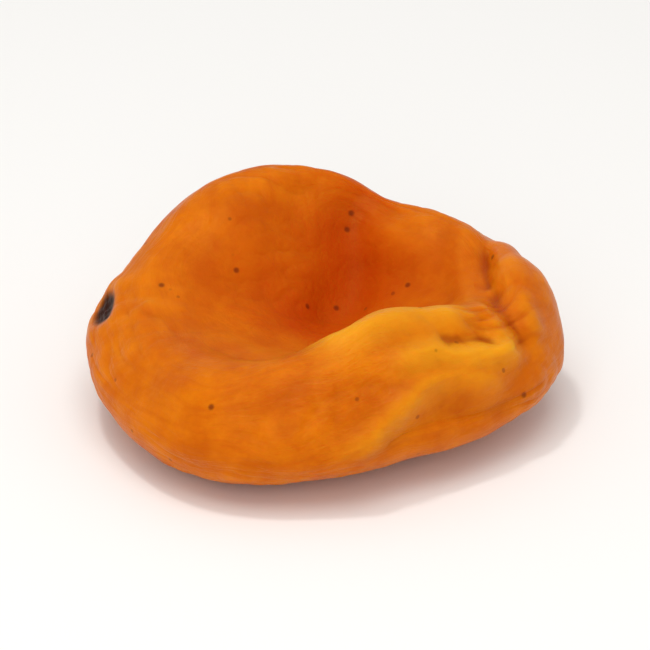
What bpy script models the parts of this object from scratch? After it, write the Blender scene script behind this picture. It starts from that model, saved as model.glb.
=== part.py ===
"""A dried apricot, dried whole with its stone pressed out, lying on its base with the dish up.

The fruit is one piece. Its skin is a closed cage: a cube whose faces are divided evenly, rounded to a
ball, and then drawn over a stack of level outlines from the base, over the belly and the rolled rim, down
into the dish where the stone was. Broad swellings and folds are pushed out of or into that skin, the cage
is smoothed by subdivision, and the spot that the fruit lies on is cut flat.

Lengths are millimetres until the mesh is made. +X points to the tip, away from the stem scar, +Y to the
back and +Z up. The origin is below the middle of the fruit, on the surface that it lies on.
"""

import math

import bmesh
import bpy
import numpy as np
from mathutils.kdtree import KDTree

MM = 0.001

# Driving dimensions. Each outline is given every 30 degrees, from the tip at 0 and +Y at 90, as its
# distance from the fruit's middle and its height.
CAGE_FACES = 12  # across each side of the starting cube
BASE_RADII = (15.6, 13.8, 12.4, 12.4, 12.4, 12.6, 13.2, 14.8, 13.0, 11.2, 11.6, 14.0)
BASE_HEIGHTS = (2.6, 1.8, 1.2, 1.0, 1.0, 1.2, 1.5, 1.2, 0.9, 1.1, 1.6, 2.3)
BELLY_RADII = (19.1, 18.3, 17.9, 18.5, 18.5, 18.2, 18.9, 18.2, 17.6, 16.4, 16.0, 17.7)
BELLY_HEIGHTS = (6.6, 6.4, 6.4, 7.4, 7.4, 6.8, 6.0, 5.4, 5.2, 5.4, 6.8, 6.4)
RIM_RADII = (15.5, 15.5, 14.3, 14.9, 15.0, 14.4, 14.6, 13.6, 13.1, 10.6, 8.7, 10.9)
RIM_HEIGHTS = (11.2, 11.6, 12.0, 14.2, 14.2, 12.1, 10.1, 9.6, 10.4, 12.2, 13.0, 12.4)
DISH_RADII = (7.6, 6.6, 5.6, 5.4, 6.0, 6.8, 7.4, 6.9, 6.2, 6.3, 5.6, 6.0)
DISH_HEIGHTS = (8.2, 8.0, 7.4, 7.8, 9.2, 9.6, 8.8, 8.2, 7.8, 7.0, 6.6, 7.2)
DISH_MIDDLE = (0.6, 3.4)
DISH_FLOOR = 6.0
UNDERSIDE_MIDDLE = (0.0, -1.0)

SETTLED = 0.2  # how far the soft fruit has flattened under its own weight
TO_MIDDLE = (0.14, 0.96)  # from the outlines' shared middle to the middle of the finished fruit

# Swellings: where the middle is, how wide and how high. A hollow has a negative height.
SWELLINGS = (
    ((-7.0, 9.0, 10.5), 5.5, 1.6),  # the cheek that bulges into the dish
    ((7.8, 9.4, 10.2), 3.0, 0.9),  # the lobe beside the valley
    ((-12.0, 2.5, 9.8), 4.0, 0.4),  # the shoulder by the stem scar
    ((3.2, 13.0, 12.5), 2.6, -0.9),  # where the valley leaves over the back rim
    ((1.0, 5.5, 6.8), 4.0, -0.7),  # the bed of the stone
    ((16.3, 3.0, 10.2), 3.2, 0.9),  # the lobe at the tip
    ((-9.5, -13.6, 6.0), 6.0, 0.5),  # the full front wall
    ((5.0, -9.5, 11.8), 3.5, 0.5),  # the rolled lip
)

# Folds: the line they follow, their half width and their depth. A ridge has a negative depth.
VALLEY = ((3.5, 13.6, 12.9), (2.2, 11.3, 10.8), (2.5, 9.4, 8.4), (1.5, 6.2, 6.8), (-2.0, 3.0, 6.4))
TIP_CREASE = ((13.6, 10.8, 10.6), (12.8, 5.2, 10.9), (13.2, 1.4, 10.7), (14.0, -2.4, 11.0), (16.6, -5.4, 7.6))
LIP_RIDGE = ((2.0, -9.4, 12.6), (5.0, -7.5, 12.8), (7.5, -6.0, 12.4), (10.0, -5.3, 12.1), (12.6, -4.3, 11.5))
FRONT_RIDGE = ((-1.0, -16.4, 5.2), (4.0, -15.0, 6.8), (8.0, -11.6, 9.5), (12.5, -9.2, 8.8), (15.5, -7.2, 7.6))
UNDERCUT = ((3.0, -15.8, 4.8), (9.0, -13.0, 7.0), (12.0, -11.5, 6.6), (15.0, -9.4, 5.9), (17.6, -6.0, 5.4))
FOLDS = (
    (VALLEY, 1.8, 0.8),
    (TIP_CREASE, 1.3, 0.6),
    (LIP_RIDGE, 1.4, -0.5),
    (FRONT_RIDGE, 1.5, -0.6),
    (UNDERCUT, 2.0, 1.2),
)
FOLD_ENDS = 0.25  # the share of a fold's length over which each end dies away

FLESH_COLOUR = (0.68, 0.16, 0.004, 1.0)
FLESH_ROUGHNESS = 0.45


def clear_scene():
    for obj in list(bpy.data.objects):
        bpy.data.objects.remove(obj, do_unlink=True)


def collection(name):
    group = bpy.data.collections.new(name)
    bpy.context.scene.collection.children.link(group)
    return group


def smooth_step(before, start, end, after, share):
    """The Catmull-Rom curve through four values, at a share of the way from start to end."""
    line = 2 * start + (end - before) * share
    bend = (2 * before - 5 * start + 4 * end - after) * share**2
    twist = (3 * start - before - 3 * end + after) * share**3
    return 0.5 * (line + bend + twist)


def around(values, azimuth):
    """Reads evenly spaced values round an outline at any azimuth, smoothly."""
    values = np.array(values)
    place = azimuth / (2 * math.pi) * len(values)
    station = np.floor(place).astype(int)
    near = [values[(station + step) % len(values)] for step in (-1, 0, 1, 2)]
    return smooth_step(*near, place - station)


def outline(radii, heights, azimuth, middle=(0.0, 0.0)):
    radius = around(radii, azimuth)
    x = middle[0] + radius * np.cos(azimuth)
    y = middle[1] + radius * np.sin(azimuth)
    return np.stack([x, y, around(heights, azimuth)], axis=-1)


def far_side(points, radii, azimuth):
    """The same outline across its middle, so that the skin runs level through the pole there."""
    width = 2 * np.mean(radii)
    return points - width * np.stack([np.cos(azimuth), np.sin(azimuth), 0 * azimuth], axis=-1)


def skin(directions):
    """Where the skin lies for each direction out of a ball: the stack of outlines, joined smoothly."""
    azimuth = np.arctan2(directions[:, 1], directions[:, 0]) % (2 * math.pi)
    from_below = np.arccos(np.clip(-directions[:, 2], -1, 1))
    base = outline(BASE_RADII, BASE_HEIGHTS, azimuth)
    belly = outline(BELLY_RADII, BELLY_HEIGHTS, azimuth)
    rim = outline(RIM_RADII, RIM_HEIGHTS, azimuth)
    dish = outline(DISH_RADII, DISH_HEIGHTS, azimuth, DISH_MIDDLE)
    underside = np.zeros_like(base) + (*UNDERSIDE_MIDDLE, 0.0)
    floor = np.zeros_like(base) + (*DISH_MIDDLE, DISH_FLOOR)
    stack = np.stack(
        [
            far_side(base, BASE_RADII, azimuth),
            underside,
            base,
            belly,
            rim,
            dish,
            floor,
            far_side(dish, DISH_RADII, azimuth),
        ]
    )
    spans = len(stack) - 3
    place = from_below / math.pi * spans
    span = np.clip(np.floor(place).astype(int), 0, spans - 1)
    each = np.arange(len(directions))
    near = [stack[span + step, each] for step in range(4)]
    return smooth_step(*near, (place - span)[:, None])


def ball_cage(mesh):
    """A cube with evenly divided faces, and its points' directions on a ball."""
    bmesh.ops.create_cube(mesh, size=2.0)
    bmesh.ops.subdivide_edges(mesh, edges=mesh.edges[:], cuts=CAGE_FACES - 1, use_grid_fill=True)
    x, y, z = np.array([corner.co for corner in mesh.verts]).T
    x_out = x * np.sqrt(1 - y**2 / 2 - z**2 / 2 + y**2 * z**2 / 3)
    y_out = y * np.sqrt(1 - z**2 / 2 - x**2 / 2 + z**2 * x**2 / 3)
    z_out = z * np.sqrt(1 - x**2 / 2 - y**2 / 2 + x**2 * y**2 / 3)
    return np.stack([x_out, y_out, z_out], axis=-1)


def move_to(mesh, points):
    for corner, point in zip(mesh.verts, points):
        corner.co = point


def outward(mesh, points):
    """The skin's outward direction at each corner of the cage."""
    move_to(mesh, points)
    bmesh.ops.recalc_face_normals(mesh, faces=mesh.faces[:])
    mesh.normal_update()
    return np.array([corner.normal for corner in mesh.verts])


def fine_line(points, steps=24):
    """A smooth line through a few points, as many close ones."""
    points = np.array(points)
    first = 2 * points[0] - points[1]
    last = 2 * points[-1] - points[-2]
    points = np.vstack([first, points, last])
    shares = np.linspace(0, 1, steps, endpoint=False)[:, None]
    pieces = [smooth_step(*points[i : i + 4], shares) for i in range(len(points) - 3)]
    return np.vstack([*pieces, points[-2:-1]])


def fold(points, line, half_width):
    """How strongly a fold acts on each point: 1 on its line, dying away beside it and at its ends."""
    line = fine_line(line)
    tree = KDTree(len(line))
    for i, place in enumerate(line):
        tree.insert(place, i)
    tree.balance()
    nearest = [tree.find(point)[1:] for point in points]
    along = np.array([index for index, _ in nearest]) / (len(line) - 1)
    distance = np.array([gap for _, gap in nearest])
    end = np.clip(np.minimum(along, 1 - along) / FOLD_ENDS, 0, 1)
    return end**2 * (3 - 2 * end) * np.exp(-((distance / half_width) ** 2))


def swollen_and_folded(points, normals):
    push = np.zeros(len(points))
    for middle, width, height in SWELLINGS:
        gap = np.linalg.norm(points - middle, axis=1)
        push += height * np.exp(-((gap / width) ** 2))
    for line, half_width, depth in FOLDS:
        push -= depth * fold(points, line, half_width)
    return points + normals * push[:, None]


def flesh():
    material = bpy.data.materials.new("dried_flesh")
    material.use_nodes = True
    shader = material.node_tree.nodes["Principled BSDF"]
    shader.inputs["Base Color"].default_value = FLESH_COLOUR
    shader.inputs["Roughness"].default_value = FLESH_ROUGHNESS
    shader.inputs["Metallic"].default_value = 0.0
    material.diffuse_color = FLESH_COLOUR
    return material


def table_cutter(group):
    """The box below the surface that the fruit lies on, which cuts its resting spot flat."""
    side = 60 * MM
    mesh = bmesh.new()
    bmesh.ops.create_cube(mesh, size=side)
    bmesh.ops.translate(mesh, verts=mesh.verts[:], vec=(0, 0, -side / 2))
    data = bpy.data.meshes.new("table_cutter")
    mesh.to_mesh(data)
    mesh.free()
    cutter = bpy.data.objects.new("table_cutter", data)
    cutter.display_type = "WIRE"
    cutter.hide_render = True
    group.objects.link(cutter)
    return cutter


def apricot(group, cutter):
    mesh = bmesh.new()
    points = skin(ball_cage(mesh))
    points = swollen_and_folded(points, outward(mesh, points))
    move_to(mesh, points * MM)
    data = bpy.data.meshes.new("apricot")
    mesh.to_mesh(data)
    mesh.free()
    data.shade_smooth()
    data.materials.append(flesh())
    fruit = bpy.data.objects.new("apricot", data)
    fruit.location = (-TO_MIDDLE[0] * MM, -TO_MIDDLE[1] * MM, -SETTLED * MM)
    group.objects.link(fruit)
    rounding = fruit.modifiers.new("rounding", "SUBSURF")
    rounding.levels = 1
    rounding.render_levels = 1
    resting_spot = fruit.modifiers.new("resting_spot", "BOOLEAN")
    resting_spot.operation = "DIFFERENCE"
    resting_spot.solver = "EXACT"
    resting_spot.object = cutter


clear_scene()
apricot(collection("apricot"), table_cutter(collection("cutters")))
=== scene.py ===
"""A dried, pitted apricot lying dish up on a pale table, in plain soft studio light.

The fruit is one closed skin over its flesh. Its broad form follows a stack of level outlines, from the
resting spot up over the belly and the rolled rim and down into the bed of the stone, with swellings and
folds pushed out of or into it. The wrinkles that drying left, the pit of the stem scar and small
blisters come on top of that. Lengths are millimetres until the mesh is made.
"""

import math

import bmesh
import bpy
import numpy as np
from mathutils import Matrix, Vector
from mathutils import noise
from mathutils.kdtree import KDTree


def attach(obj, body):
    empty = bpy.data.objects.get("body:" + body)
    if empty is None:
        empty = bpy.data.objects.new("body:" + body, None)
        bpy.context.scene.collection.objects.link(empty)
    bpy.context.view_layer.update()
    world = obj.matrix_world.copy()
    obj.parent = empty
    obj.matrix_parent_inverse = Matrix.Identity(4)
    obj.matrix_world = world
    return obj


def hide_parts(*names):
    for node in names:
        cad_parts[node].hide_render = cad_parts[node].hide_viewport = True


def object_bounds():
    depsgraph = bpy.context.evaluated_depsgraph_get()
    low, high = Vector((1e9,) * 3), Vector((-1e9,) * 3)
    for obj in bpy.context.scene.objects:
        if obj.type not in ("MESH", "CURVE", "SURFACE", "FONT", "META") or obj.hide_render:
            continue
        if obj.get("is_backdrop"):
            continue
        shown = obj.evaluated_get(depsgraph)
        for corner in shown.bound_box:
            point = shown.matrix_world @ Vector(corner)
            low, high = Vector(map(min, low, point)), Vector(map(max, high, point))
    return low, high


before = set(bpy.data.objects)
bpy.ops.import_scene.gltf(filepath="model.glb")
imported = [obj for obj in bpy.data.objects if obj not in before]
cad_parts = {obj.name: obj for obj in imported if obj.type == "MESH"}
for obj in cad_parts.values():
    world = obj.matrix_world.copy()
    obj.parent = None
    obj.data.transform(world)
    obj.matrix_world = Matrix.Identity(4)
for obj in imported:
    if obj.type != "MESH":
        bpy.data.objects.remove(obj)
cad_low, cad_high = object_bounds()

MM = 0.001

# The outlines, each given every 30 degrees, from the tip at 0 and the back at 90, as a distance from the
# fruit's middle and a height.
SKIN_FACES = 128  # across each side of the cube that the skin starts as
BASE_RADII = (15.6, 13.8, 12.4, 12.4, 12.4, 12.6, 13.2, 14.8, 13.0, 11.2, 11.6, 14.0)
BASE_HEIGHTS = (2.6, 1.8, 1.2, 1.0, 1.0, 1.2, 1.5, 1.2, 0.9, 1.1, 1.6, 2.3)
BELLY_RADII = (19.1, 18.3, 17.9, 18.5, 18.5, 18.2, 18.9, 18.2, 17.6, 16.4, 16.0, 17.7)
BELLY_HEIGHTS = (6.6, 6.4, 6.4, 7.4, 7.4, 6.8, 6.0, 5.4, 5.2, 5.4, 6.8, 6.4)
RIM_RADII = (15.5, 15.5, 14.3, 14.9, 15.0, 14.4, 14.6, 13.6, 13.1, 10.6, 8.7, 10.9)
RIM_HEIGHTS = (11.2, 11.6, 12.0, 14.2, 14.2, 12.1, 10.1, 9.6, 10.4, 12.2, 13.0, 12.4)
DISH_RADII = (7.6, 6.6, 5.6, 5.4, 6.0, 6.8, 7.4, 6.9, 6.2, 6.3, 5.6, 6.0)
DISH_HEIGHTS = (8.2, 8.0, 7.4, 7.8, 9.2, 9.6, 8.8, 8.2, 7.8, 7.0, 6.6, 7.2)
DISH_MIDDLE = (0.6, 3.4)
DISH_FLOOR = 6.0
UNDERSIDE_MIDDLE = (0.0, -1.0)
RIM, DISH = 3, 4  # where the rim and the dish come in the stack, counted up from the underside
SETTLED = 0.2  # how far the soft fruit has flattened under its own weight

# Swellings: where the middle is, how wide and how high. A hollow has a negative height.
SWELLINGS = (
    ((-7.0, 9.0, 10.5), 5.5, 1.6),  # the cheek that bulges into the dish
    ((7.8, 9.4, 10.2), 3.0, 0.9),  # the lobe beside the valley
    ((-12.0, 2.5, 9.8), 4.0, 0.4),  # the shoulder by the stem scar
    ((3.2, 13.0, 12.5), 2.6, -0.9),  # where the valley leaves over the back rim
    ((1.0, 5.5, 6.8), 4.0, -0.7),  # the bed of the stone
    ((16.3, 3.0, 10.2), 3.2, 0.9),  # the lobe at the tip
    ((-9.5, -13.6, 6.0), 6.0, 0.5),  # the full front wall
    ((5.0, -9.5, 11.8), 3.5, 0.5),  # the rolled lip
    ((12.2, -5.6, 11.2), 1.5, -0.4),  # the pocket in the lip
    ((-9.0, -13.3, 8.0), 1.3, -0.15),  # two shallow dents in the front wall
    ((-6.0, -15.1, 7.2), 1.5, -0.15),
    # Blisters, where the skin lifted as it dried.
    ((13.2, 1.3, 10.5), 0.6, 0.28),
    ((11.7, -5.1, 12.0), 0.6, 0.22),
    ((14.2, -7.1, 9.9), 0.8, 0.25),
    ((16.1, -3.3, 10.2), 0.9, 0.2),
    ((8.8, 8.5, 11.1), 0.8, 0.2),
    ((-14.1, -0.5, 10.2), 0.7, 0.15),
)

# Lines on the skin that folds follow, and the painted highlight and painted shade as well.
VALLEY = ((3.5, 13.6, 12.9), (2.2, 11.3, 10.8), (2.5, 9.4, 8.4), (1.5, 6.2, 6.8), (-2.0, 3.0, 6.4))
TIP_CREASE = (
    (13.6, 10.8, 10.6),
    (13.0, 8.4, 11.1),
    (12.8, 5.2, 10.9),
    (13.2, 1.4, 10.7),
    (14.0, -2.4, 11.0),
    (15.5, -4.6, 9.5),
    (16.6, -5.4, 7.6),
)
LIP_SLIT = (
    (8.4, -7.9, 11.9),
    (9.6, -7.8, 11.5),
    (11.0, -7.4, 11.0),
    (13.0, -6.5, 10.4),
    (14.8, -5.3, 9.8),
)
LIP_RIDGE = (
    (-2.5, -9.3, 10.9),
    (0.0, -9.6, 11.8),
    (2.0, -9.4, 12.6),
    (5.0, -7.5, 12.8),
    (7.5, -6.0, 12.4),
    (10.0, -5.3, 12.1),
    (12.6, -4.3, 11.5),
)
LOWER_RIDGE = (
    (4.0, -12.0, 10.6),
    (6.5, -10.6, 10.9),
    (8.5, -9.4, 11.0),
    (11.0, -8.6, 10.3),
    (14.0, -6.6, 9.6),
    (15.8, -6.2, 8.2),
)
FRONT_RIDGE = (
    (-1.0, -16.4, 5.2),
    (2.0, -15.8, 6.1),
    (4.0, -15.0, 6.8),
    (6.5, -13.0, 8.7),
    (8.0, -11.6, 9.5),
    (10.0, -10.4, 9.6),
    (12.5, -9.2, 8.8),
    (15.5, -7.2, 7.6),
)
UNDERCUT = (
    (3.0, -15.8, 4.8),
    (6.0, -14.6, 6.2),
    (9.0, -13.0, 7.0),
    (12.0, -11.5, 6.6),
    (15.0, -9.4, 5.9),
    (17.6, -6.0, 5.4),
)
LIP_END = ((-9.6, -4.9, 8.9), (-8.0, -7.0, 9.4), (-6.0, -8.6, 9.9), (-3.0, -8.4, 10.2))

# Folds: the line, the half width, the depth, and the height of the skin heaped up on each side. A ridge
# has a negative depth.
FOLDS = (
    (VALLEY, 1.6, 0.8, 0.15),
    (TIP_CREASE, 0.9, 0.75, 0.3),
    (LIP_SLIT, 0.6, 0.25, 0.1),
    (LIP_RIDGE, 1.1, -0.5, 0.0),
    (LOWER_RIDGE, 0.9, -0.5, 0.0),
    (FRONT_RIDGE, 1.1, -0.7, 0.0),
    (UNDERCUT, 2.0, 1.2, 0.0),
    (LIP_END, 0.9, 0.25, 0.1),
)
FOLD_ENDS = 0.25  # the share of a fold's length over which each end dies away

# Painted highlight, pale yellow, standing for light on the ridges and glowing through the thin skin
# there: the line, the half width, and how strong it is.
PAINTED_HIGHLIGHT_LINES = ((LIP_RIDGE, 1.8, 1.0), (LOWER_RIDGE, 1.4, 1.0), (FRONT_RIDGE, 1.0, 0.5))
PAINTED_HIGHLIGHT_SHARE = 0.8
PAINTED_HIGHLIGHT_ON_BACKS = 0.3  # how much painted highlight the backs of the wrinkles have
# Painted shade: how much darker and redder the bed of the stone and the skin by the valley are made.
PAINTED_SHADE_IN_BED = 0.45
PAINTED_SHADE_BY_VALLEY = 0.6
VALLEY_PAINTED_SHADE_WIDTH = 3.5
CREASE_PAINTED_SHADE_SHARE = 0.8  # how much painted shade the deepest creases have
PLAIN_RELIEF = (0.02, 0.25)  # relief from which a crease shows its painted shade or a back its painted highlight, and shows it all

# Wrinkles: how far apart they are across the line of the rim and along it, and how deep they are.
LONG_WRINKLES = (1.6, 6.0, 0.20)
CROSS_WRINKLES = (4.0, 1.5, 0.10)
FINE_WRINKLES = (0.8, 2.4, 0.05)
BED_WRINKLES = (2.6, 1.7, 0.12)  # in the bed of the stone: how far apart along X, across it, how deep
LUMPS = (4.0, 0.25)  # under all the wrinkles: how wide and how high
OUTLINE_GAP = 8.0  # the skin's usual length from one outline of the stack to the next
WRINKLE_RING = 13.0  # about the rim's radius, for the pattern that runs up and down the sides
WANDER = (6.0, 1.5)  # the width of the wandering of the grain, and how far it goes
PATCH_WIDTH = 7.0  # of the patches that wrinkled more than the skin between them
LEAST_WRINKLED = 0.25  # the share of the wrinkles' depth left between the patches
RELAXING = 1  # rounds of evening out
RELIEF_ROUNDS = 24  # how widely the skin round a point is averaged, to see what stands above it

SCAR = (-17.9, 2.0, 8.8)  # the stem scar
SCAR_WIDTH = 1.5
SCAR_SQUEEZE = (1.3, 0.8, 1.25)
SCAR_DEPTH = 0.4
SCAR_CRUST = (0.6, 0.2)  # the width and height of the grains in the scar's crust
SCAR_COLLAR = 0.2  # how high the skin stands round the scar

SPECKS = (
    (2.2, 12.9, 11.3),
    (1.9, 12.1, 10.2),
    (1.2, 7.2, 5.8),
    (-1.6, 5.6, 6.5),
    (6.8, 6.4, 8.2),
    (-8.8, -13.7, 8.7),
    (-12.9, 1.7, 10.8),
    (15.8, -7.7, 6.2),
    (-7.0, 4.8, 10.5),
    (13.5, 5.5, 11.3),
)


def smooth_step(before, start, end, after, share):
    """The Catmull-Rom curve through four values, at a share of the way from start to end."""
    line = 2 * start + (end - before) * share
    bend = (2 * before - 5 * start + 4 * end - after) * share**2
    twist = (3 * start - before - 3 * end + after) * share**3
    return 0.5 * (line + bend + twist)


def ramp(values, low, high):
    """0 at low and 1 at high, easing in and out between them."""
    share = np.clip((values - low) / (high - low), 0, 1)
    return share**2 * (3 - 2 * share)


def around(values, azimuth):
    """Reads evenly spaced values round an outline at any azimuth, smoothly."""
    values = np.array(values)
    place = azimuth / (2 * math.pi) * len(values)
    station = np.floor(place).astype(int)
    near = [values[(station + step) % len(values)] for step in (-1, 0, 1, 2)]
    return smooth_step(*near, place - station)


def outline(radii, heights, azimuth, middle=(0.0, 0.0)):
    radius = around(radii, azimuth)
    x = middle[0] + radius * np.cos(azimuth)
    y = middle[1] + radius * np.sin(azimuth)
    return np.stack([x, y, around(heights, azimuth)], axis=-1)


def far_side(points, radii, azimuth):
    """The same outline across its middle, so that the skin runs level through the pole there."""
    width = 2 * np.mean(radii)
    return points - width * np.stack([np.cos(azimuth), np.sin(azimuth), 0 * azimuth], axis=-1)


def skin(directions):
    """Where the skin lies for each direction out of a ball, and how far up the stack of outlines."""
    azimuth = np.arctan2(directions[:, 1], directions[:, 0]) % (2 * math.pi)
    from_below = np.arccos(np.clip(-directions[:, 2], -1, 1))
    base = outline(BASE_RADII, BASE_HEIGHTS, azimuth)
    belly = outline(BELLY_RADII, BELLY_HEIGHTS, azimuth)
    rim = outline(RIM_RADII, RIM_HEIGHTS, azimuth)
    dish = outline(DISH_RADII, DISH_HEIGHTS, azimuth, DISH_MIDDLE)
    underside = np.zeros_like(base) + (*UNDERSIDE_MIDDLE, 0.0)
    floor = np.zeros_like(base) + (*DISH_MIDDLE, DISH_FLOOR)
    stack = np.stack(
        [
            far_side(base, BASE_RADII, azimuth),
            underside,
            base,
            belly,
            rim,
            dish,
            floor,
            far_side(dish, DISH_RADII, azimuth),
        ]
    )
    spans = len(stack) - 3
    place = from_below / math.pi * spans
    span = np.clip(np.floor(place).astype(int), 0, spans - 1)
    each = np.arange(len(directions))
    near = [stack[span + step, each] for step in range(4)]
    return smooth_step(*near, (place - span)[:, None]), place


def ball(mesh):
    """A cube with evenly divided faces, and its points' directions on a ball."""
    bmesh.ops.create_cube(mesh, size=2.0)
    bmesh.ops.subdivide_edges(mesh, edges=mesh.edges[:], cuts=SKIN_FACES - 1, use_grid_fill=True)
    x, y, z = np.array([corner.co for corner in mesh.verts]).T
    x_out = x * np.sqrt(1 - y**2 / 2 - z**2 / 2 + y**2 * z**2 / 3)
    y_out = y * np.sqrt(1 - z**2 / 2 - x**2 / 2 + z**2 * x**2 / 3)
    z_out = z * np.sqrt(1 - x**2 / 2 - y**2 / 2 + x**2 * y**2 / 3)
    return np.stack([x_out, y_out, z_out], axis=-1)


def move_to(mesh, points):
    for corner, point in zip(mesh.verts, points):
        corner.co = point


def outward(mesh, points):
    """The skin's outward direction at each point."""
    move_to(mesh, points)
    bmesh.ops.recalc_face_normals(mesh, faces=mesh.faces[:])
    mesh.normal_update()
    return np.array([corner.normal for corner in mesh.verts])


def fine_line(points, steps=24):
    """A smooth line through a few points, as many close ones."""
    points = np.array(points)
    first = 2 * points[0] - points[1]
    last = 2 * points[-1] - points[-2]
    points = np.vstack([first, points, last])
    shares = np.linspace(0, 1, steps, endpoint=False)[:, None]
    pieces = [smooth_step(*points[i : i + 4], shares) for i in range(len(points) - 3)]
    return np.vstack([*pieces, points[-2:-1]])


def beside(points, line):
    """Each point's distance from a line on the skin, and 1 along the line, easing to 0 at its ends."""
    line = fine_line(line)
    tree = KDTree(len(line))
    for i, place in enumerate(line):
        tree.insert(place, i)
    tree.balance()
    nearest = [tree.find(point)[1:] for point in points]
    along = np.array([index for index, _ in nearest]) / (len(line) - 1)
    distance = np.array([gap for _, gap in nearest])
    return distance, ramp(np.minimum(along, 1 - along), 0, FOLD_ENDS)


def bump(distance, width):
    return np.exp(-((distance / width) ** 2))


def swollen_and_folded(points, normals):
    push = np.zeros(len(points))
    for middle, width, height in SWELLINGS:
        push += height * bump(np.linalg.norm(points - middle, axis=1), width)
    for line, half_width, depth, heap in FOLDS:
        distance, strength = beside(points, line)
        trough = depth * bump(distance, half_width)
        sides = heap * bump(distance - 2.2 * half_width, 1.1 * half_width)
        push += strength * (sides - trough)
    return points + normals * push[:, None]


def rumple(places, seed):
    """Smooth noise from about -1 to 1 at places given in widths of its own lumps."""
    offset = Vector((seed, -seed, 2 * seed))
    return np.array([noise.noise(Vector(place) + offset) for place in places])


def creases(places, seed):
    """Narrow valleys between rounded backs: -0.5 in a valley, up to 0.5 between two."""
    return 0.5 - np.exp(-4 * np.abs(rumple(places, seed)))


def in_bed(place):
    """How far a point lies inside the bed of the stone, from 0 on the rim to 1."""
    return ramp(place, RIM + 0.15, DISH - 0.2)


def grain(points, place):
    """Places such that a pattern drawn out in X and Y runs level along the rim, wandering a little."""
    width, reach = WANDER
    wander = reach * rumple(points / width, 11.0)
    return np.stack([points[:, 0], points[:, 1], place * OUTLINE_GAP + wander], axis=-1)


def wrinkled(points, normals, place):
    """Shallow creases along the line of the rim, finer ones across it and in the bed, and soft lumps."""
    level = grain(points, place)
    push = np.zeros(len(points))
    for (across, along, depth), seed in ((LONG_WRINKLES, 1.0), (FINE_WRINKLES, 5.0)):
        push += depth * creases(level * (1 / along, 1 / along, 1 / across), seed)
    azimuth = np.arctan2(points[:, 1], points[:, 0])
    x, y = WRINKLE_RING * np.cos(azimuth), WRINKLE_RING * np.sin(azimuth)
    up = place * OUTLINE_GAP
    across, along, depth = CROSS_WRINKLES
    push += depth * creases(np.stack([x / along, y / along, up / across], axis=-1), 2.0)
    wrinkling = ramp(rumple(points / PATCH_WIDTH, 4.0), -0.4, 0.5)
    patches = LEAST_WRINKLED + (1 - LEAST_WRINKLED) * wrinkling
    along_x, across_x, depth = BED_WRINKLES
    bed_push = depth * creases(points / (along_x, across_x, across_x), 6.0)
    bed = in_bed(place)
    push = patches * (push * (1 - bed) + bed_push * bed)

    width, height = LUMPS
    push += height * rumple(points / width, 3.0)
    off_table = ramp(place, 0.6, 1.4)
    return points + normals * (off_table * push)[:, None]


def from_scar(points):
    """Distance from the stem scar, which drying drew out into an oval."""
    return np.linalg.norm((points - SCAR) * SCAR_SQUEEZE, axis=1)


def scarred(points, normals):
    """The crusted pit where the stem came away, with a low collar round it."""
    distance = from_scar(points)
    width, height = SCAR_CRUST
    crust = height * rumple(points / width, 7.0)
    pit = (SCAR_DEPTH + crust) * np.exp(-((distance / SCAR_WIDTH) ** 4))
    collar = SCAR_COLLAR * bump(distance - 1.7 * SCAR_WIDTH, 0.6 * SCAR_WIDTH)
    return points + normals * (collar - pit)[:, None]


def settled(points):
    """Lowers the fruit onto the table and flattens the spot that it rests on."""
    points = points - (0, 0, SETTLED)
    points[:, 2] = np.maximum(points[:, 2], 0)
    return points


def fitted(points):
    """Brings the fruit's box onto the solid fruit's, which it differs from by fine detail only."""
    low, high = points.min(axis=0), points.max(axis=0)
    solid_low, solid_high = np.array(cad_low) / MM, np.array(cad_high) / MM
    return solid_low + (points - low) * (solid_high - solid_low) / (high - low)


def neighbour_mean(values, ends):
    """The mean of each point's neighbours' values."""
    first, second = ends
    total = np.zeros_like(values)
    np.add.at(total, first, values[second])
    np.add.at(total, second, values[first])
    count = np.bincount(first, minlength=len(values)) + np.bincount(second, minlength=len(values))
    return total / count[:, None]


def edge_ends(mesh):
    return np.array([[end.index for end in edge.verts] for edge in mesh.edges]).T


def relaxed(mesh, points):
    """Evens out kinks that are as small as the faces, so that the skin never crosses itself."""
    ends = edge_ends(mesh)
    for _ in range(RELAXING):
        points = (points + neighbour_mean(points, ends)) / 2
    return points


def relief(mesh, points, normals):
    """How far each point stands above the mean of the skin round it, in millimetres."""
    ends = edge_ends(mesh)
    smooth = points
    for _ in range(RELIEF_ROUNDS):
        smooth = neighbour_mean(smooth, ends)
    return ((points - smooth) * normals).sum(axis=1)


def store(data, name, values):
    layer = data.attributes.new(name, "FLOAT", "POINT")
    layer.data.foreach_set("value", values.astype(np.float32))


def store_places(data, name, places):
    layer = data.attributes.new(name, "FLOAT_VECTOR", "POINT")
    layer.data.foreach_set("vector", places.astype(np.float32).ravel())


def colour(text):
    """Linear colour from an sRGB hex value."""
    parts = [int(text[i : i + 2], 16) / 255 for i in (1, 3, 5)]
    linear = [p / 12.92 if p <= 0.04045 else ((p + 0.055) / 1.055) ** 2.4 for p in parts]
    return (*linear, 1.0)


def add(tree, kind, links=None, **settings):
    """Adds a node. Settings are its properties, and links feed or set its inputs, by name or number."""
    node = tree.nodes.new(kind)
    for name, value in settings.items():
        setattr(node, name, value)
    for socket, source in (links or {}).items():
        target = node.inputs[socket]
        if isinstance(source, bpy.types.NodeSocket):
            tree.links.new(source, target)
        else:
            target.default_value = source
    return node


# The sockets of a Mix node, several of which share a name.
FACTOR, FLOAT_A, FLOAT_B, COLOUR_A, COLOUR_B = 0, 2, 3, 6, 7
FLOAT_OUT, COLOUR_OUT = 0, 2


def per_mm(width):
    """The scale at which a pattern repeats every so many millimetres."""
    return 1 / (width * MM)


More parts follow.
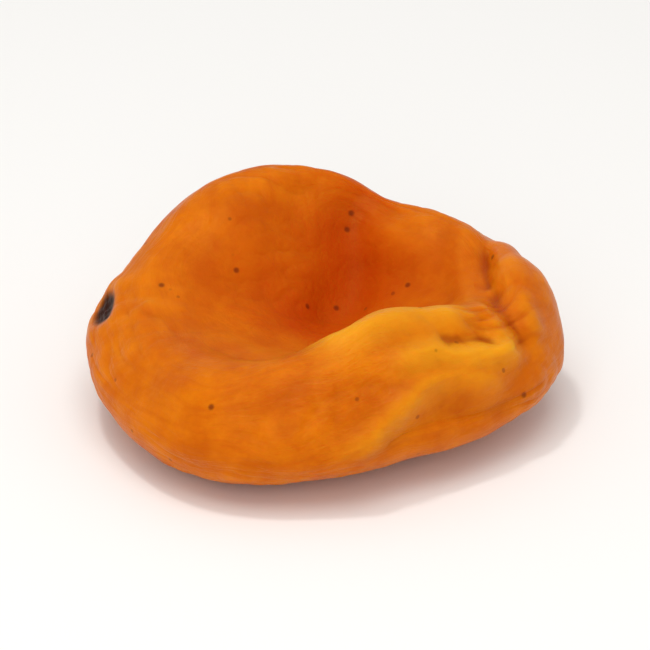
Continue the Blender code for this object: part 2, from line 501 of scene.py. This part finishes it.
def dried_flesh(specks):
    """Dried apricot: leathery skin over translucent flesh, shrunk in the sun and slightly sticky.

    Light goes a few millimetres into it, so its edges glow and its folds stay orange. Painted light is
    added to its colour: a pale yellow painted highlight along the ridges of the rolled rim and on the
    backs of the wrinkles, and painted shade that makes the bed of the stone and the valley red and dark
    and darkens the creases.
    """
    material = bpy.data.materials.new("dried_flesh")
    material.use_nodes = True
    tree = material.node_tree
    shader = tree.nodes["Principled BSDF"]
    place = add(tree, "ShaderNodeTexCoord").outputs["Object"]
    bed = add(tree, "ShaderNodeAttribute", attribute_name="bed").outputs["Fac"]
    # The grain attribute is in millimetres, so a pattern on it has 1 over millimetres as its scale.
    along_grain = add(tree, "ShaderNodeAttribute", attribute_name="grain").outputs["Vector"]
    drawn_out = add(
        tree, "ShaderNodeMapping", {"Vector": along_grain, "Scale": (0.2, 0.2, 1.0)}
    ).outputs["Vector"]

    # Colour: mottled flesh, then streaks along the grain, then painted highlight on the ridges and
    # crests and painted shade in the bed, the valley and the creases.
    mottle = add(
        tree,
        "ShaderNodeTexNoise",
        {"Vector": place, "Scale": per_mm(3.8), "Detail": 4.0, "Roughness": 0.6},
    )
    mottled = add(
        tree,
        "ShaderNodeMapRange",
        {
            "Value": mottle.outputs["Fac"],
            "From Min": 0.35,
            "From Max": 0.65,
            "To Min": 0.0,
            "To Max": 1.0,
        },
    )
    flesh = add(
        tree,
        "ShaderNodeMix",
        {FACTOR: mottled.outputs["Result"], COLOUR_A: colour("#c35c00"), COLOUR_B: colour("#d87504")},
        data_type="RGBA",
    ).outputs[COLOUR_OUT]
    streaks = add(
        tree,
        "ShaderNodeTexNoise",
        {"Vector": drawn_out, "Scale": 1 / 1.3, "Detail": 3.0, "Roughness": 0.6, "Distortion": 0.4},
    )
    blotches = add(
        tree,
        "ShaderNodeTexNoise",
        {"Vector": place, "Scale": per_mm(2.2), "Detail": 4.0, "Roughness": 0.65, "Distortion": 0.8},
    )
    marks = add(
        tree,
        "ShaderNodeMix",
        {FACTOR: bed, FLOAT_A: streaks.outputs["Fac"], FLOAT_B: blotches.outputs["Fac"]},
    )
    marked = add(
        tree,
        "ShaderNodeMapRange",
        {
            "Value": marks.outputs[FLOAT_OUT],
            "From Min": 0.45,
            "From Max": 0.75,
            "To Min": 0.0,
            "To Max": 0.4,
        },
    )
    flesh = add(
        tree,
        "ShaderNodeMix",
        {FACTOR: marked.outputs["Result"], COLOUR_A: flesh, COLOUR_B: colour("#bd5000")},
        data_type="RGBA",
    ).outputs[COLOUR_OUT]
    # Painted light, laid on in turn: painted highlight on ridges and crests, painted shade in the bed
    # and the valley, painted shade in the creases.
    for name, shade in (("painted_highlight", "#e6a01c"), ("painted_hollow_shade", "#bd4400"), ("painted_crease_shade", "#a83a00")):
        amount = add(tree, "ShaderNodeAttribute", attribute_name=name).outputs["Fac"]
        flesh = add(
            tree,
            "ShaderNodeMix",
            {FACTOR: amount, COLOUR_A: flesh, COLOUR_B: colour(shade)},
            data_type="RGBA",
        ).outputs[COLOUR_OUT]

    # The woody crust in the stem scar.
    crust = add(
        tree,
        "ShaderNodeTexNoise",
        {"Vector": place, "Scale": per_mm(0.5), "Detail": 3.0, "Roughness": 0.6},
    )
    woody = add(
        tree,
        "ShaderNodeMix",
        {FACTOR: crust.outputs["Fac"], COLOUR_A: colour("#140402"), COLOUR_B: colour("#3c1408")},
        data_type="RGBA",
    )
    scar = add(tree, "ShaderNodeAttribute", attribute_name="scar").outputs["Fac"]
    flesh = add(
        tree,
        "ShaderNodeMix",
        {FACTOR: scar, COLOUR_A: flesh, COLOUR_B: woody.outputs[COLOUR_OUT]},
        data_type="RGBA",
    ).outputs[COLOUR_OUT]

    # Specks: the clear ones at their own places, and faint pores here and there all over.
    pits = add(
        tree,
        "ShaderNodeTexVoronoi",
        {"Vector": place, "Scale": per_mm(3.0), "Randomness": 1.0},
    )
    spotted = add(
        tree,
        "ShaderNodeMapRange",
        {
            "Value": pits.outputs["Distance"],
            "From Min": 0.085,
            "From Max": 0.04,
            "To Min": 0.0,
            "To Max": 0.5,
        },
        interpolation_type="SMOOTHSTEP",
    ).outputs["Result"]
    for speck in specks:
        distance = add(
            tree, "ShaderNodeVectorMath", {0: place, 1: tuple(speck)}, operation="DISTANCE"
        ).outputs["Value"]
        spot = add(
            tree,
            "ShaderNodeMapRange",
            {
                "Value": distance,
                "From Min": 0.35 * MM,
                "From Max": 0.1 * MM,
                "To Min": 0.0,
                "To Max": 0.75,
            },
            interpolation_type="SMOOTHSTEP",
        ).outputs["Result"]
        spotted = add(
            tree, "ShaderNodeMath", {0: spotted, 1: spot}, operation="MAXIMUM"
        ).outputs["Value"]
    flesh = add(
        tree,
        "ShaderNodeMix",
        {FACTOR: spotted, COLOUR_A: flesh, COLOUR_B: colour("#6b1c05")},
        data_type="RGBA",
    ).outputs[COLOUR_OUT]

    tree.links.new(flesh, shader.inputs["Base Color"])
    shader.inputs["Metallic"].default_value = 0.0
    shader.inputs["Subsurface Weight"].default_value = 0.7
    shader.inputs["Subsurface Radius"].default_value = (1.0, 0.35, 0.1)
    shader.inputs["Subsurface Scale"].default_value = 2.5 * MM
    shader.inputs["IOR"].default_value = 1.45
    shader.inputs["Specular IOR Level"].default_value = 0.2
    shader.inputs["Specular Tint"].default_value = colour("#ffcf90")

    # The skin's stickiness varies in patches, and the bed of the stone is rougher.
    sticky = add(
        tree,
        "ShaderNodeTexNoise",
        {"Vector": place, "Scale": per_mm(3.0), "Detail": 2.0, "Roughness": 0.5},
    )
    satin = add(
        tree,
        "ShaderNodeMapRange",
        {
            "Value": sticky.outputs["Fac"],
            "From Min": 0.35,
            "From Max": 0.65,
            "To Min": 0.3,
            "To Max": 0.5,
        },
    )
    roughness = add(
        tree,
        "ShaderNodeMix",
        {FACTOR: bed, FLOAT_A: satin.outputs["Result"], FLOAT_B: 0.65},
    )
    tree.links.new(roughness.outputs[FLOAT_OUT], shader.inputs["Roughness"])

    # Fine relief: pores, and the grain of the shrunken skin.
    pores = add(
        tree,
        "ShaderNodeTexNoise",
        {"Vector": place, "Scale": per_mm(0.5), "Detail": 4.0, "Roughness": 0.6},
    )
    pore_bump = add(
        tree,
        "ShaderNodeBump",
        {"Strength": 0.5, "Distance": 0.12 * MM, "Height": pores.outputs["Fac"]},
    )
    fine = add(
        tree,
        "ShaderNodeTexNoise",
        {"Vector": drawn_out, "Scale": 1 / 0.5, "Detail": 3.0, "Roughness": 0.6, "Distortion": 0.6},
    )
    coarse = add(
        tree,
        "ShaderNodeTexNoise",
        {"Vector": place, "Scale": per_mm(1.1), "Detail": 4.0, "Roughness": 0.6, "Distortion": 0.6},
    )
    wrinkling = add(
        tree,
        "ShaderNodeMix",
        {FACTOR: bed, FLOAT_A: fine.outputs["Fac"], FLOAT_B: coarse.outputs["Fac"]},
    )
    skin_bump = add(
        tree,
        "ShaderNodeBump",
        {
            "Strength": 0.5,
            "Distance": 0.25 * MM,
            "Height": wrinkling.outputs[FLOAT_OUT],
            "Normal": pore_bump.outputs["Normal"],
        },
    )
    tree.links.new(skin_bump.outputs["Normal"], shader.inputs["Normal"])
    return material


def apricot():
    mesh = bmesh.new()
    points, place = skin(ball(mesh))
    points = swollen_and_folded(points, outward(mesh, points))
    points = wrinkled(points, outward(mesh, points), place)
    own = relaxed(mesh, scarred(points, outward(mesh, points)))
    points = fitted(settled(own))
    normals = outward(mesh, points)
    height = relief(mesh, points, normals)
    move_to(mesh, points * MM)
    data = bpy.data.meshes.new("apricot_skin")
    mesh.to_mesh(data)
    mesh.free()
    data.shade_smooth()
    nearest = [np.argmin(np.linalg.norm(own - speck, axis=1)) for speck in SPECKS]
    data.materials.append(dried_flesh(points[nearest] * MM))

    # Painted shade: the bed of the stone and the valley darker and redder.
    inside = ramp(place, RIM + 0.05, DISH - 0.1)
    valley, _ = beside(own, VALLEY)
    painted_hollow_shade = np.clip(PAINTED_SHADE_IN_BED * inside + PAINTED_SHADE_BY_VALLEY * bump(valley, VALLEY_PAINTED_SHADE_WIDTH), 0, 1)
    # Painted highlight: paler and yellower along the ridges and on the backs of the wrinkles.
    painted_highlight = np.zeros(len(points))
    for line, width, amount in PAINTED_HIGHLIGHT_LINES:
        distance, strength = beside(own, line)
        painted_highlight = np.maximum(painted_highlight, amount * strength * bump(distance, width))
    painted_highlight = np.clip(PAINTED_HIGHLIGHT_SHARE * painted_highlight + ramp(height, *PLAIN_RELIEF) * PAINTED_HIGHLIGHT_ON_BACKS, 0, 1)
    # Painted shade: darker where the skin lies below the skin round it, in the creases.
    painted_crease_shade = CREASE_PAINTED_SHADE_SHARE * ramp(-height, *PLAIN_RELIEF)
    scar = bump(from_scar(own), 1.1 * SCAR_WIDTH)
    store(data, "bed", in_bed(place))
    store(data, "painted_hollow_shade", painted_hollow_shade)
    store(data, "painted_highlight", painted_highlight)
    store(data, "painted_crease_shade", painted_crease_shade)
    store(data, "scar", ramp(scar, 0.2, 0.5))
    store_places(data, "grain", grain(own, place))
    fruit = bpy.data.objects.new("apricot_skin", data)
    bpy.context.scene.collection.objects.link(fruit)
    return fruit


def table():
    """A plain matt white table top, far wider than the view."""
    mesh = bmesh.new()
    bmesh.ops.create_grid(mesh, x_segments=1, y_segments=1, size=2.0)
    data = bpy.data.meshes.new("table")
    mesh.to_mesh(data)
    mesh.free()
    material = bpy.data.materials.new("matt_white_card")
    material.use_nodes = True
    shader = material.node_tree.nodes["Principled BSDF"]
    shader.inputs["Base Color"].default_value = colour("#f4f3f1")
    shader.inputs["Roughness"].default_value = 0.9
    data.materials.append(material)
    top = bpy.data.objects.new("table", data)
    bpy.context.scene.collection.objects.link(top)
    return top


def aimed(thing, place, target):
    thing.location = place
    thing.rotation_mode = "QUATERNION"
    thing.rotation_quaternion = (Vector(target) - Vector(place)).to_track_quat("-Z", "Y")
    bpy.context.scene.collection.objects.link(thing)


def soft_light(name, place, side, power, tint):
    lamp = bpy.data.lights.new(name, "AREA")
    lamp.size = side
    lamp.energy = power
    lamp.color = tint
    aimed(bpy.data.objects.new(name, lamp), place, (0, 0, 0.007))


def studio():
    world = bpy.data.worlds.new("studio")
    bpy.context.scene.world = world
    world.use_nodes = True
    background = world.node_tree.nodes["Background"]
    background.inputs["Color"].default_value = (1.0, 1.0, 1.0, 1.0)
    background.inputs["Strength"].default_value = 0.52
    soft_light("overhead", (-0.02, -0.12, 0.42), 0.3, 0.8, (1.0, 0.985, 0.96))
    soft_light("window", (-0.05, -0.42, 0.25), 0.3, 0.5, (1.0, 1.0, 1.0))
    soft_light("lamp", (-0.08, -0.02, 0.42), 0.04, 0.3, (1.0, 0.985, 0.96))
    bpy.context.scene.view_settings.view_transform = "Standard"


def camera():
    """Looks down at the dish from the front, from as far as a hand would hold a camera."""
    low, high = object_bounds()
    middle = (low + high) / 2
    distance = 0.40
    elevation = math.radians(30)
    room = 1.36  # the width in view, in lengths of the fruit
    width_in_view = room * (high.x - low.x)
    lens = bpy.data.cameras.new("camera")
    lens.lens = lens.sensor_width * distance / width_in_view
    viewer = bpy.data.objects.new("camera", lens)
    back = Vector((0, -math.cos(elevation), math.sin(elevation)))
    aimed(viewer, middle + back * distance, middle)
    bpy.context.scene.camera = viewer


fruit = apricot()
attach(fruit, "root")
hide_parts("apricot")
table()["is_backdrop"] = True
studio()
camera()
